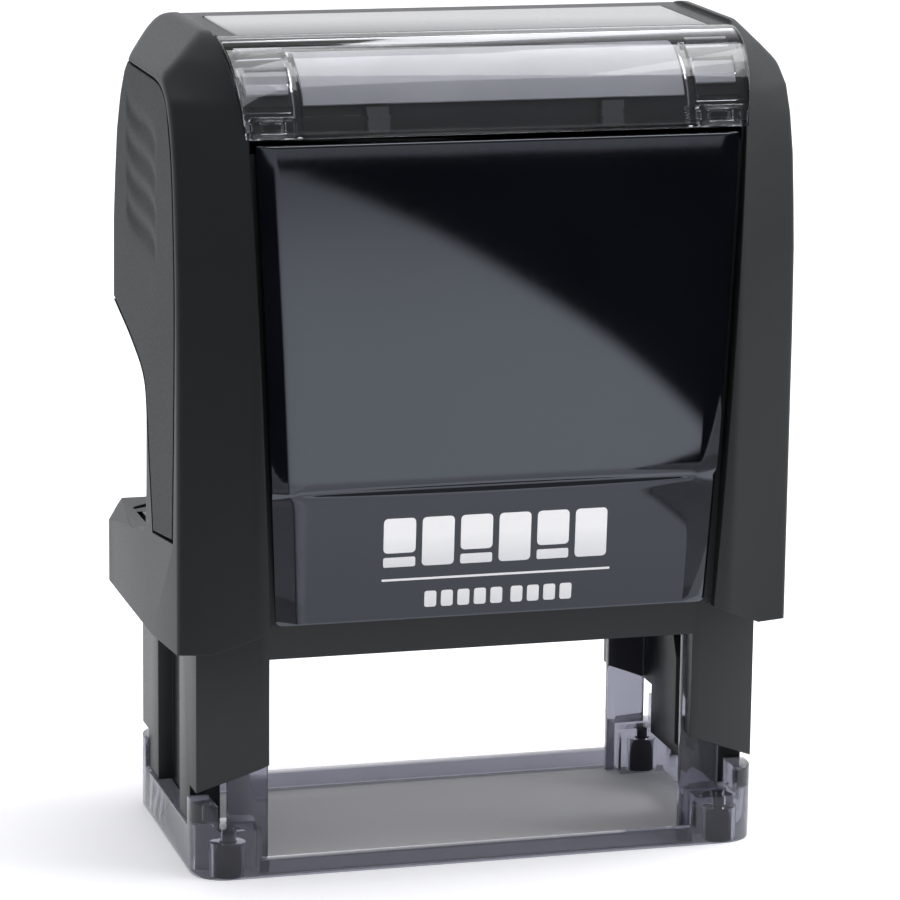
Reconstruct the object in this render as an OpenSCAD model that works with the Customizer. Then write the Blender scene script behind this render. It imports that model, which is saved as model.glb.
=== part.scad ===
// Self-inking hand stamp: a sprung cap slides down over an inner frame and flips a rubber die
// from an ink pad to the paper. Millimetres, +Z up, front face towards -Y, origin on the ground
// at the middle of the footprint.

/* [Cap] */
// Width of the cap over its side faces
cap_w = 57; // [55:0.5:60]
// Depth of the cap over its front and back
cap_d = 35.6; // [35:0.2:38]
// Height of the whole stamp at rest
cap_h = 76; // [75:0.5:80]
// Height of the cap's lower edge above the ground at rest
cap_z = 20.5; // [20.4:0.1:21]
// Thickness of the cap's side walls
cap_wall = 1.6; // [1.4:0.1:1.8]
// Depth of the cap's side faces, from the front arris to the back arris
side_d = 28.4; // [27:0.2:29]

/* [Frame] */
// Width of the inner frame over its side walls
frame_w = 52.6; // [51.6:0.2:53]
// Depth of the inner frame over its front and back walls
frame_d = 26.6; // [26:0.2:27]
// Thickness of the frame's side walls
frame_wall = 2.8; // [2.6:0.1:3]
// Height of the frame's top deck
deck_z = 46; // [45.5:0.1:46.2]
// Height of the opening between the legs
arch_z = 20.3; // [19.5:0.1:20.4]

/* [Mechanism] */
// Travel of the cap from rest to print
stroke = 20; // [18:0.5:20]
// Distance from the axle to the face of the die
die_reach = 7.2; // [7:0.1:7.4]
// Width of the die
die_w = 38; // [30:0.5:38]
// Depth of the die
die_d = 14; // [10:0.5:14]
// Radius of the axle pins
axle_r = 1.5; // [1.2:0.1:1.6]
// Distance from the axle to the cam pins
cam_arm = 4.2; // [4:0.1:4.6]
// Radius of the cam pins
cam_r = 1; // [0.8:0.1:1.1]

/* [Foot] */
// Width of the clear foot
foot_w = 53.2; // [53:0.1:53.4]
// Depth of the clear foot
foot_d = 27.2; // [27:0.1:27.4]
// Radius of the foot's corners
foot_r = 3.2; // [2.6:0.1:3.6]
// Height of the foot's corner posts
post_h = 7.6; // [7:0.1:7.7]

/* [Hidden] */
$fn = 48;
eps = 0.01;
gap = 0.15;                           // seam between two clipped mouldings
play = 0.3;                           // room between pieces that slide past each other
far = 100;

half_w = cap_w / 2;
half_d = cap_d / 2;
side_y = side_d / 2;
chamfer = 3.8;                        // bevel along the cap's top side edges
back_bevel_z = 58;                    // where the bevel across the cap's top back corners starts
back_bevel_tilt = 76.6;               // angle of that bevel's normal from vertical
shoulder_cut_z = 63;                  // where the corners of the cap's shoulders are cut back again
back_shoulder_y = 13;
front_shoulder_y = -13.6;
back_shoulder_tilt = 65.4;
front_shoulder_tilt = 68.6;
ledge_y = 0.4;                        // front end of the band's slanting top edge
ledge_z = 29.7;                       // height of that edge there
ledge_fall = 10.7;                    // angle at which it falls towards the back
strip_half = 23.95;                   // outer edge of the shallow strips beside the top plate
wave_r = 1.9;                         // radius of the finger waves in the grips
column_in = 21.9;                     // inner edge of the columns beside the front panel, at its top
column_in_low = 20.3;                 // the same at the cap's lower edge
panel_z = 24;                         // lower edge of the front panel
window_z = 67.6;                      // lower edge of the label window
skin_y = 15.9;                        // outer face of the thin wall behind the front and back panels
skin = 1;                             // thickness of that wall
shoulder_z = 66;                      // where the cap's front and back start to curve over
top_y0 = -9.8;                        // front edge of the cap's flat top
top_y1 = 5.4;                         // back edge of the cap's flat top
bulge_z = 48;                         // height at which the cap's front stands out furthest
bulge_r = 280;                        // radius of the cap's slightly crowned front and back
window_r = 8.15;                      // outer radius of the label window's bend
window_t = 1.2;
window_c = [-8.4, 67.55];             // centre of that bend, as Y and Z
window_half = 22.75;
band_z = 28.3;                        // top of the cap's band behind the frame

frame_x = frame_w / 2;
frame_y = frame_d / 2;
frame_in = frame_x - frame_wall;      // inner face of the frame's side walls
frame_side_y = 11.9;                  // where the frame's bevelled corners meet its side faces
frame_bevel_x = 20.7;
frame_waist_y = 6.5;                  // above the cap's band the frame's back corners are cut back to here
frame_waist_x = 24.4;
flange = 1.6;                         // thickness of the frame's front and back walls
leg_in = 19.9;                        // inner edge of the legs
leg_z_in = 10.5;                      // lower edge of a leg at its inner edge
leg_z_out = 7.85;                     // the same at the outer edge
tongue_z = 4.2;                       // lower edge of the tongues that plug into the foot
tongue_y = 9.1;
channel_y = 4.75;                     // half width of the channel that an arm runs in
channel_t = 1.4;
slot_y = axle_r + play;

axle_z = die_reach + stroke;          // height of the axle at rest
pad_gap = 0.35;                       // the pad clears the die by this at rest
pad_z = axle_z + die_reach + pad_gap;
tray_z = pad_z + 0.25;
tray_top = tray_z + 4.6;
tray_half = 22.6;
tray_y0 = -11.4;
tray_y1 = 12.4;
grip_half = 19;
grip_y = 14.4;
grip_top = tray_z + 7.2;
die_half = die_w / 2;
platen_half = die_half + 0.4;
rubber_t = 1.1;
relief_t = 1.0;
cushion_t = 0.6;
carrier_t = die_reach - rubber_t - relief_t - cushion_t;
hub_end = frame_in - play;

arm_x1 = frame_x - 0.15;              // outer face of the bridge's arms
arm_x0 = frame_x - channel_t + 0.15;  // inner face of them
arm_y = channel_y - 0.25;
arm_z = axle_z - 2.4;                 // lower end of the arms at rest
bridge_top = cap_h - cap_wall - 0.2;
bridge_t = 1.4;
spring_z0 = deck_z;
spring_z1 = bridge_top - bridge_t;
spring_r = 5;
spring_wire = 1;
spring_turns = 4.5;

rim_h = 1.6;                          // height of the foot's front and back rims
side_h = tongue_z - 0.1;
block_h = 4.6;
block_x = 20.6;
block_y = 9.3;
peg_x = 23.3;
peg_y = 11.5;
peg_r = 1.45;

// ---------- helpers ----------

// A box between two corners
module block(a, b) {
    translate(a) cube(b - a);
}

// An outline drawn in X and Z, extruded along Y from y0 to y1
module along_y(y0, y1) {
    translate([0, y1, 0]) rotate([90, 0, 0]) linear_extrude(y1 - y0) children();
}

// An outline drawn in Y and Z, extruded along X from x0 to x1
module along_x(x0, x1) {
    translate([x0, 0, 0]) rotate([90, 0, 90]) linear_extrude(x1 - x0) children();
}

// A round bar along X
module bar_x(x0, x1, r, y, z) {
    translate([x0, y, z]) rotate([0, 90, 0]) cylinder(h = x1 - x0, r = r);
}

// The child and its mirror image in X
module both_sides() {
    children();
    mirror([1, 0, 0]) children();
}

module four_corners() {
    for (sx = [-1, 1], sy = [-1, 1]) scale_corner(sx, sy) children();
}

// The child moved to one of the four corners by mirroring
module scale_corner(sx, sy) {
    mirror([sx < 0 ? 1 : 0, 0, 0]) mirror([0, sy < 0 ? 1 : 0, 0]) children();
}

// Eight-sided plan: flat front and back, bevelled corners, flat sides
function bevelled_plan(x, y_side, x_front, y) = [
    [x, -y_side], [x, y_side], [x_front, y], [-x_front, y],
    [-x, y_side], [-x, -y_side], [-x_front, -y], [x_front, -y]];

// ---------- cap ----------

// Distance of the crowned front from the middle plane, at height z, taken in by t
function crown(z, t) = half_d - t - pow(z - bulge_z, 2) / (2 * bulge_r);

// Side outline of the cap in Y and Z, taken in by t
function cap_profile(t) = concat(
    [for (z = [cap_z - eps : 5.04 : shoulder_z]) [-crown(z, t), z]],
    [for (a = [0 : 7.5 : 90])
        [top_y0 - (crown(shoulder_z, t) + top_y0) * cos(a),
         shoulder_z + (cap_h - t - shoulder_z) * sin(a)]],
    [for (a = [90 : -7.5 : 0])
        [top_y1 + (crown(shoulder_z, t) - top_y1) * cos(a),
         shoulder_z + (cap_h - t - shoulder_z) * sin(a)]],
    [for (z = [shoulder_z - 0.01 : -5.04 : cap_z]) [crown(z, t), z]],
    [[crown(cap_z, t), cap_z - eps]]);

// Front outline of the cap in X and Z, taken in by t
function cap_face(t) = [
    [half_w - t, cap_z - far], [half_w - t, cap_h - chamfer - t * 0.42],
    [half_w - chamfer - t * 0.42, cap_h - t], [-half_w + chamfer + t * 0.42, cap_h - t],
    [-half_w + t, cap_h - chamfer - t * 0.42], [-half_w + t, cap_z - far]];

// Everything beyond a slanting plane through p, moved in by t
module corner_cut(p, tilt, turn, t) {
    translate(p) rotate([0, tilt, turn]) translate([-far / 2, -far / 2, -t]) cube(far);
}

// The cap's outer form, taken in by t all round
module cap_form(t) {
    difference() {
        intersection() {
            along_x(-half_w, half_w) polygon(cap_profile(t));
            along_y(-half_d, half_d) polygon(cap_face(t));
            translate([0, 0, cap_z - 1])
                linear_extrude(cap_h) polygon(bevelled_plan(half_w - t, side_y - t * 0.9, column_in - t * 0.35, half_d - t));
        }
        both_sides() {
            corner_cut([half_w, side_y, back_bevel_z], back_bevel_tilt, 45, t);
            corner_cut([half_w, back_shoulder_y, shoulder_cut_z], back_shoulder_tilt, 45, t);
            corner_cut([half_w, front_shoulder_y, shoulder_cut_z], front_shoulder_tilt, -45, t);
        }
    }
}

// Side opening behind the grips, through which the ink cartridge is reached
module waist_outline() {
    polygon([[-0.4, 30.4], [-0.75, 33], [-0.9, 37], [-0.85, 41.2], [-0.3, 42.8], [0.7, 44], [2.1, 44.9],
        [5.8, 46.1], [11.1, 47.6], [half_d + 1, 49.6], [half_d + 1, band_z], [6, band_z], [0.6, 29.4]]);
}

// Outline of a side grip in Y and Z, grown by g where it meets the cap
module grip_outline(g) {
    difference() {
        polygon([[-12.2 - g, 31.5 - g], [-12.9 - g, 48], [-13.2 - g, 62], [-12.7 - g, 67.2 + g],
            [-10.6 - g, 70.4 + g], [-7, 71.4 + g], [5.7, 71.4 + g], [side_y + 1, 66],
            [side_y + 1, 41.6], [-1.2 + g, 41.6], [-3.8 + g, 30.4 - g]]);
        waist_outline();
    }
}

// The region outside the label seat's bend, in Y and Z
module window_zone(r) {
    difference() {
        translate([window_c[0] - 20, window_z]) square([20, 20]);
        translate(window_c) circle(r, $fn = 96);
    }
}

module cap_shell() {
    color("#2b2d2f") difference() {
        union() {
            difference() {
                union() {
                    cap_form(0);
                    block([-half_w, 3, cap_z], [half_w, half_d, band_z + 2]);
                }
                // inside of the hood, and the run of the frame through the cap's foot
                cap_form(cap_wall);
                translate([0, 0, cap_z - 2]) linear_extrude(20)
                    polygon(bevelled_plan(half_w - cap_wall, 12.7, 21.3, 15.4));
                // recesses for the front and back panels
                along_y(-far, -skin_y) polygon([[-column_in_low, cap_z - 1], [column_in_low, cap_z - 1],
                    [column_in + 0.4, window_z], [-column_in - 0.4, window_z]]);
                along_y(skin_y, far) polygon([[-column_in, band_z + 3], [column_in, band_z + 3],
                    [column_in, cap_h - 6], [-column_in, cap_h - 6]]);
                along_x(-window_half - 0.1, window_half + 0.1) window_zone(window_r - window_t - 0.75);
            }
            // thin walls behind the two panels, and the curved seat under the window
            block([-column_in, -skin_y, panel_z], [column_in, -skin_y + skin, window_z]);
            block([-column_in, skin_y - skin, band_z + 1], [column_in, skin_y, cap_h - 8]);
            along_x(-window_half - 0.1, window_half + 0.1) intersection() {
                translate([window_c[0] - 20, window_z - 1]) square([20.5, 20]);
                difference() {
                    translate(window_c) circle(window_r - window_t - 0.75, $fn = 96);
                    translate(window_c) circle(window_r - window_t - 2, $fn = 96);
                }
            }
            block([-column_in, -skin_y, window_z - 1.2], [column_in, -13.8, window_z - 0.1]);
        }
        along_x(-far, far) waist_outline();
        // slanting top edge of the band, at the sides
        both_sides() translate([0, ledge_y, ledge_z]) rotate([-ledge_fall, 0, 0]) along_y(-0.1, far)
            polygon([[half_w + 1, -1.44], [half_w - 2.2, 3.2], [half_w + 1, 3.2]]);
        // lower edge of the front: open between the columns, which end in a slant
        block([-column_in_low, -far, cap_z - 1], [column_in_low, 0, panel_z]);
        along_y(-far, -skin_y + 4.5) polygon([[25.5, 21.5], [20.2, 23.9], [-20.2, 23.9], [-25.5, 21.5],
            [-half_w - 1, 21.5], [-half_w - 1, 0], [half_w + 1, 0], [half_w + 1, 21.5]]);
        both_sides() along_x(half_w - 0.9, half_w + 1) grip_outline(gap);
        // seat of the top plate
        block([-21.9, window_c[0], cap_h - 0.75], [21.9, top_y1 + 0.4, cap_h + 1]);
        block([-strip_half, window_c[0], cap_h - 0.4], [strip_half, top_y1 + 4, cap_h + 1]);
        // guide of the lock button in the back band
        along_y(12, far) translate([-4.6, 22.2]) square([9.2, 4.2]);
        block([-5.6, 14, 21.4], [5.6, 16.3, 27.2]);
    }
}

module front_panel() {
    color("#0c0d0f") difference() {
        intersection() {
            along_x(-half_w, half_w) polygon(cap_profile(0.3));
            along_y(-far, -skin_y) polygon([[-19.9, panel_z], [19.9, panel_z],
                [column_in, window_z - 0.4], [-column_in, window_z - 0.4]]);
        }
        // crease above the name field
        along_x(-18.4, 18.4) translate([-half_d - 0.1, 36.2]) circle(0.45, $fn = 24);
    }
}

module back_panel() {
    color("#0c0d0f") intersection() {
        along_x(-half_w, half_w) polygon(cap_profile(0.3));
        along_y(skin_y, far) polygon([[-column_in + 0.2, 50.2], [column_in - 0.2, 50.2],
            [column_in - 0.2, cap_h - 6.2], [-column_in + 0.2, cap_h - 6.2]]);
    }
}

module top_plate() {
    color("#1b1d1f") block([-21.8, window_c[0] + 0.1, cap_h - 0.75], [21.8, top_y1 + 0.3, cap_h - 0.3]);
}

module side_grip(side) {
    mirror([side < 0 ? 1 : 0, 0, 0]) color("#383b3d") intersection() {
        cap_form(0.05);
        difference() {
            along_x(half_w - 0.9, half_w) grip_outline(0);
            // four shallow finger waves
            for (i = [0 : 3]) translate([half_w + wave_r - 0.35, 1.2, 66 - 3.1 * i])
                rotate([90, 0, 0]) cylinder(h = 12, r = wave_r, center = true);
        }
    }
}

module index_card() {
    card_r = window_r - window_t - 0.3;
    color("#e8e8ea") along_x(-17.3, 17.3) intersection() {
        translate([window_c[0] - 20, 70.4]) square([20, 20]);
        difference() {
            translate(window_c) circle(card_r, $fn = 96);
            translate(window_c) circle(card_r - 0.3, $fn = 96);
        }
    }
}

module index_window() {
    color("#c9ccd6", 0.4) union() {
        along_x(-window_half, window_half) intersection() {
            translate([window_c[0] - 20, window_z + 0.05]) square([20, 20]);
            difference() {
                translate(window_c) circle(window_r, $fn = 96);
                translate(window_c) circle(window_r - window_t, $fn = 96);
            }
        }
        // clip pads that bear on the seat
        both_sides() along_x(18.2, window_half) intersection() {
            translate([window_c[0] - 20, window_z + 0.05]) square([20, 2.6]);
            difference() {
                translate(window_c) circle(window_r - window_t / 2, $fn = 96);
                translate(window_c) circle(window_r - window_t - 0.7, $fn = 96);
            }
        }
    }
}

// ---------- bridge and axle ----------

module bridge() {
    top_x = half_w - chamfer - 2.4;
    color("#232527") difference() {
        union() {
            along_y(-arm_y, arm_y) difference() {
                polygon([[-arm_x1, arm_z], [-arm_x1, 70.6], [-top_x, bridge_top], [top_x, bridge_top],
                    [arm_x1, 70.6], [arm_x1, arm_z]]);
                polygon([[-arm_x0, 0], [-arm_x0, 70], [-top_x + 1, spring_z1], [top_x - 1, spring_z1],
                    [arm_x0, 70], [arm_x0, 0]]);
            }
            translate([0, 0, spring_z1]) cylinder(h = bridge_t, r = 7.2);
            translate([0, 0, spring_z1 - 2]) cylinder(h = 2.2, r = 3.2);
        }
        bar_x(-frame_x, frame_x, axle_r, 0, axle_z);
    }
}

module axle_pin(side) {
    mirror([side < 0 ? 1 : 0, 0, 0]) color("#9a9c9e")
        bar_x(platen_half + 0.5, arm_x1, axle_r, 0, axle_z);
}

module return_spring() {
    sides = 8;
    steps = 28;
    rings = floor(spring_turns * steps);
    length = spring_z1 - spring_z0 - spring_wire - 0.02;
    start = spring_z0 + spring_wire / 2 + 0.01;
    // ring i of the coil: the wire's circle in the radial plane
    points = [for (i = [0 : rings], k = [0 : sides - 1])
        let (turn = 360 * i / steps, lie = 360 * k / sides,
            r = spring_r + spring_wire / 2 * cos(lie))
        [r * cos(turn), r * sin(turn), start + length * i / rings + spring_wire / 2 * sin(lie)]];
    walls = [for (i = [0 : rings - 1], k = [0 : sides - 1])
        let (a = i * sides + k, b = i * sides + (k + 1) % sides)
        [a, a + sides, b + sides, b]];
    ends = [[for (k = [0 : sides - 1]) k],
        [for (k = [sides - 1 : -1 : 0]) rings * sides + k]];
    color("#a9abad") polyhedron(points, concat(walls, ends), convexity = 6);
}

// ---------- frame ----------

// Place of a cam pin's centre after the cap has moved down by s, as Y and Z
function cam_place(s) = let (a = 90 + 180 * s / stroke) [cam_arm * sin(a), axle_z - s + cam_arm * cos(a)];

// Direction of the cam track at s, as a unit vector in Y and Z
function cam_way(s) = let (d = cam_place(s + 0.05) - cam_place(s - 0.05)) d / norm(d);

// Track of a cam pin, w to each side of its path
module cam_track(w) {
    steps = 32;
    left = [for (i = [0 : steps]) let (s = stroke * i / steps, d = cam_way(s)) cam_place(s) + w * [-d[1], d[0]]];
    right = [for (i = [steps : -1 : 0]) let (s = stroke * i / steps, d = cam_way(s)) cam_place(s) - w * [-d[1], d[0]]];
    polygon(concat(left, right));
    translate(cam_place(0)) circle(w);
    translate(cam_place(stroke)) circle(w);
}

module inner_frame() {
    color("#2e3032") difference() {
        union() {
            difference() {
                translate([0, 0, tongue_z]) linear_extrude(deck_z - tongue_z)
                    polygon(bevelled_plan(frame_x, frame_side_y, frame_bevel_x, frame_y));
                block([-frame_in, -frame_y + flange, 0], [frame_in, frame_y - flange, deck_z - 2]);
                both_sides() translate([0, 0, band_z]) linear_extrude(far)
                    polygon([[frame_x, frame_waist_y], [frame_waist_x, frame_y], [frame_x + 1, frame_y]]);
            }
            // rails that carry the ink cartridge
            both_sides() block([tray_half - 0.9, -frame_y + flange, tray_z - 1.1], [frame_in, frame_y - flange, tray_z - 0.1]);
            both_sides() block([tray_half - 0.9, -frame_y + flange, tray_top + 0.1], [frame_in, frame_y - flange, tray_top + 1]);
            translate([0, 0, deck_z - 0.1]) cylinder(h = 2.5, r = 3.2);
        }
        // arch between the legs, front and back
        block([-leg_in, -far, 0], [leg_in, far, arch_z]);
        // slanting ends of the legs, outside the tongues
        for (s = [-1, 1]) along_y(s < 0 ? -far : tongue_y, s < 0 ? -tongue_y : far)
            polygon([[leg_in - 1, 0], [leg_in - 1, leg_z_in + 0.4], [frame_x + 1, leg_z_out - 0.4], [frame_x + 1, 0]]);
        for (s = [-1, 1]) mirror([1, 0, 0]) along_y(s < 0 ? -far : tongue_y, s < 0 ? -tongue_y : far)
            polygon([[leg_in - 1, 0], [leg_in - 1, leg_z_in + 0.4], [frame_x + 1, leg_z_out - 0.4], [frame_x + 1, 0]]);
        // mouth for the ink cartridge in the back wall
        block([-tray_half - play, 0, tray_z - 0.6], [tray_half + play, far, deck_z - 2]);
        both_sides() {
            along_x(frame_x - channel_t, frame_x + 1) translate([-channel_y, 0]) square([2 * channel_y, far]);
            along_x(frame_in - 1, frame_x + 1) {
                translate([-slot_y, tongue_z + 1]) square([2 * slot_y, axle_z - tongue_z - 1]);
                translate([0, axle_z]) circle(slot_y);
            }
            along_x(frame_in - 1, frame_in + 0.8) cam_track(cam_r + 0.15);
        }
    }
}

// ---------- foot ----------

module rounded_rect(w, d, r) {
    square([w - 2 * r, d], center = true);
    square([w, d - 2 * r], center = true);
    for (sx = [-1, 1], sy = [-1, 1]) translate([sx * (w / 2 - r), sy * (d / 2 - r)]) circle(r);
}

module clear_foot() {
    in_x = foot_w / 2 - 1.6;
    in_y = foot_d / 2 - 1.4;
    color("#b9bbc6", 0.4) difference() {
        intersection() {
            linear_extrude(arch_z) rounded_rect(foot_w, foot_d, foot_r);
            union() {
                difference() {
                    block([-far, -far, 0], [far, far, rim_h]);
                    block([-in_x, -in_y, -1], [in_x, in_y, rim_h + 1]);
                }
                both_sides() block([in_x, -far, 0], [far, far, side_h]);
                four_corners() {
                    block([foot_w / 2 - 2, block_y, 0], [far, far, post_h - 0.7]);
                    block([block_x, block_y, 0], [far, far, block_h]);
                    // liner behind the leg, which locks the foot to the frame
                    block([leg_in - 0.3, frame_y - flange - 0.9, 0], [frame_in - 0.2, frame_y - flange - 0.1, arch_z - 0.5]);
                }
            }
        }
        // sockets of the rubber feet
        four_corners() translate([peg_x, peg_y, -1]) {
            cylinder(h = 4.15, r = peg_r + 0.05);
            cylinder(h = 5.4, r = 0.65);
        }
    }
}

module rubber_foot(sx, sy) {
    scale_corner(sx, sy) color("#1d1e1f") translate([peg_x, peg_y, 0]) {
        cylinder(h = 3.1, r = peg_r);
        cylinder(h = 4.3, r = 0.6);
    }
}

// ---------- platen and die ----------

module platen() {
    half_depth = die_d / 2 + 1;
    color("#3a3c3e") difference() {
        union() {
            block([-platen_half, -half_depth, axle_z + 1.2], [platen_half, half_depth, axle_z + carrier_t]);
            block([-platen_half, -2.4, axle_z - 3], [platen_half, 2.4, axle_z + 2]);
            bar_x(-hub_end, hub_end, 3.2, 0, axle_z);
            both_sides() {
                // crank that carries the cam pin
                block([hub_end - 1.4, 0, axle_z - 1.6], [hub_end, cam_arm, axle_z + 1.6]);
                bar_x(hub_end - 1.4, hub_end, 1.6, cam_arm, axle_z);
                bar_x(hub_end - 1, frame_in + 0.65, cam_r, cam_arm, axle_z);
            }
        }
        both_sides() bar_x(platen_half - 0.5, hub_end + 1, axle_r + 0.05, 0, axle_z);
    }
}

module die_cushion() {
    color("#d8d8d4") block([-die_half, -die_d / 2, axle_z + carrier_t],
        [die_half, die_d / 2, axle_z + carrier_t + cushion_t]);
}

module rubber_die() {
    base = axle_z + carrier_t + cushion_t;
    color("#7d1f1f") union() {
        block([-die_half, -die_d / 2, base], [die_half, die_d / 2, base + rubber_t]);
        // generic relief: a border and four plain bars
        difference() {
            block([-die_half + 0.6, -die_d / 2 + 0.6, base + rubber_t], [die_half - 0.6, die_d / 2 - 0.6, axle_z + die_reach]);
            block([-die_half + 1.3, -die_d / 2 + 1.3, base], [die_half - 1.3, die_d / 2 - 1.3, far]);
        }
        for (i = [0 : 3]) block([-15 + i, -4.6 + 2.7 * i, base + rubber_t], [15 - 3 * i, -3.4 + 2.7 * i, axle_z + die_reach]);
    }
}

// ---------- ink cartridge ----------

module cartridge_tray() {
    color("#1f2123") difference() {
        union() {
            block([-tray_half, tray_y0, tray_z], [tray_half, tray_y1, tray_top]);
            block([-grip_half, tray_y1 - 1.6, tray_z], [grip_half, grip_y - 0.5, grip_top]);
            for (i = [0 : 3]) block([-grip_half + 3, grip_y - 1, tray_z + 1 + 1.6 * i], [grip_half - 3, grip_y, tray_z + 1.7 + 1.6 * i]);
        }
        block([-tray_half + 1.6, tray_y0 + 1.6, tray_z - 1], [tray_half - 1.6, tray_y1 - 1.8, tray_top - 1.2]);
    }
}

module ink_pad() {
    color("#15151a") block([-tray_half + 1.9, tray_y0 + 1.9, pad_z], [tray_half - 1.9, tray_y1 - 2.1, tray_top - 1.2]);
}

// ---------- lock ----------

module lock_button() {
    color("#4a4d50") union() {
        along_y(14.9, half_d - 0.05) translate([-4.4, 22.4]) square([8.8, 3.8]);
        block([-5.4, 14.9, 21.6], [5.4, 16.0, 27]);
    }
}

inner_frame();
clear_foot();
rubber_foot(-1, -1);  // rubber_foot_front_left
rubber_foot(1, -1);  // rubber_foot_front_right
rubber_foot(-1, 1);  // rubber_foot_back_left
rubber_foot(1, 1);  // rubber_foot_back_right
return_spring();
cap_shell();
front_panel();
back_panel();
top_plate();
side_grip(-1);  // left_side_grip
side_grip(1);  // right_side_grip
index_card();
bridge();
axle_pin(-1);  // left_axle_pin
axle_pin(1);  // right_axle_pin
index_window();
platen();
die_cushion();
rubber_die();
cartridge_tray();
ink_pad();
lock_button();
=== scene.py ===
import bpy
import bmesh
import numpy as np
from math import sin, cos, radians, pi, sqrt
from mathutils import Vector, Matrix


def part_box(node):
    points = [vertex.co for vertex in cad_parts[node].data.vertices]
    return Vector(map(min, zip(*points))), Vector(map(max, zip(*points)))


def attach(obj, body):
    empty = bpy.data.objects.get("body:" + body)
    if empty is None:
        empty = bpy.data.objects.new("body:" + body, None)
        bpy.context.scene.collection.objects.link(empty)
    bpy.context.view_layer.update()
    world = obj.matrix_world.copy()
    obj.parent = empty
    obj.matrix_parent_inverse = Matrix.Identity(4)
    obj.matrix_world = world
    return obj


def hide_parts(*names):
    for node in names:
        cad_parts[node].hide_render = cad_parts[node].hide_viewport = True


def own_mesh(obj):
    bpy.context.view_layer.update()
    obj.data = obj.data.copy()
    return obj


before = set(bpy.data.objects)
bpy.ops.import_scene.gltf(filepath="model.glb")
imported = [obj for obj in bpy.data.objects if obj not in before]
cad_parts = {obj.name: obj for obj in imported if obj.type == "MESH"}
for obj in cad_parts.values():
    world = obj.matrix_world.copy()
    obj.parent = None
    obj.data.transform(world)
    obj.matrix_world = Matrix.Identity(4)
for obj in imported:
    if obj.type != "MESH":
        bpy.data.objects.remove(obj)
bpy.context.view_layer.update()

# All sizes below are in millimetres; meshes are written in metres.
MM = 0.001

# ---------- sizes read from the solids, and the few that the looks add ----------


def box_mm(node):
    low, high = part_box(node)
    return np.array(low) / MM, np.array(high) / MM


CAP_LOW, CAP_HIGH = box_mm("cap_shell")
HALF_W = float(CAP_HIGH[0])
HALF_D = float(CAP_HIGH[1])
CAP_H = float(CAP_HIGH[2])
CAP_Z = float(CAP_LOW[2])
SIDE_Y = 14.2
CHAMFER = 3.8
COLUMN_IN = 21.9
COLUMN_IN_LOW = 20.3
WALL = 1.6
BULGE_Z = 48.0
BULGE_R = 280.0
SHOULDER_Z = 66.0
TOP_Y0 = -9.8
TOP_Y1 = 5.4
PANEL_Z = 24.0
SKIN_Y = 15.9
WINDOW_Z = 67.6
WINDOW_C = (-8.4, 67.55)
WINDOW_R = 8.15
WINDOW_T = 1.2
WINDOW_HALF = 22.75
BAND_Z = 28.3
CREASE_Z = 36.2
CREASE_HALF = 18.4


# ---------- mesh helpers ----------


def new_piece(name, verts, faces):
    """A mesh object at the origin from millimetre points."""
    mesh = bpy.data.meshes.new(name)
    mesh.from_pydata([Vector(v) * MM for v in verts], [], faces)
    mesh.update()
    piece = bpy.data.objects.new(name, mesh)
    bpy.context.scene.collection.objects.link(piece)
    return piece


def flattened(piece):
    """Bakes the piece's modifiers into its mesh."""
    graph = bpy.context.evaluated_depsgraph_get()
    mesh = bpy.data.meshes.new_from_object(piece.evaluated_get(graph), depsgraph=graph)
    old = piece.data
    piece.modifiers.clear()
    piece.data = mesh
    mesh.name = piece.name
    bpy.data.meshes.remove(old)
    return piece


def outward(piece):
    """Merges doubled points and turns every face outwards."""
    mesh = bmesh.new()
    mesh.from_mesh(piece.data)
    bmesh.ops.remove_doubles(mesh, verts=mesh.verts, dist=1e-7)
    bmesh.ops.recalc_face_normals(mesh, faces=mesh.faces)
    mesh.to_mesh(piece.data)
    mesh.free()
    return piece


def smooth(piece, angle=32):
    """Smooth shading that breaks at edges sharper than the angle."""
    piece.data.shade_smooth()
    piece.data.set_sharp_from_angle(angle=radians(angle))
    return piece


def softened(piece, width, segments=2, angle=30):
    """Rounds the piece's edges by a bevel of that width."""
    bevel = piece.modifiers.new("rounded edges", "BEVEL")
    bevel.width = width * MM
    bevel.segments = segments
    bevel.limit_method = "ANGLE"
    bevel.angle_limit = radians(angle)
    bevel.use_clamp_overlap = True
    return flattened(piece)


def combined(piece, others, operation):
    """Joins the others to the piece, cuts them from it, or keeps what they share; the others are removed."""
    for other in others:
        step = piece.modifiers.new(operation, "BOOLEAN")
        step.operation = operation
        step.solver = "EXACT"
        step.object = other
        flattened(piece)
        mesh = other.data
        bpy.data.objects.remove(other)
        bpy.data.meshes.remove(mesh)
    return piece


def cut(piece, *others):
    return combined(piece, others, "DIFFERENCE")


def joined(piece, *others):
    return combined(piece, others, "UNION")


def placed(axis, across, up, along):
    """A point from outline coordinates: X and Z for axis y, Y and Z for axis x, X and Y for axis z."""
    if axis == "x":
        return (along, across, up)
    if axis == "y":
        return (across, along, up)
    return (across, up, along)


def tapered(name, axis, outline_a, at_a, outline_b, at_b):
    """A solid between two outlines with the same number of points."""
    n = len(outline_a)
    verts = [placed(axis, a, u, at_a) for a, u in outline_a]
    verts += [placed(axis, a, u, at_b) for a, u in outline_b]
    faces = [list(range(n)), list(range(2 * n - 1, n - 1, -1))]
    faces += [[i, n + i, n + (i + 1) % n, (i + 1) % n] for i in range(n)]
    return outward(new_piece(name, verts, faces))


def prism(name, axis, outline, low, high):
    return tapered(name, axis, outline, low, outline, high)


def block(name, low, high):
    corners = [(low[0], low[1]), (high[0], low[1]), (high[0], high[1]), (low[0], high[1])]
    return prism(name, "z", corners, low[2], high[2])


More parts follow.
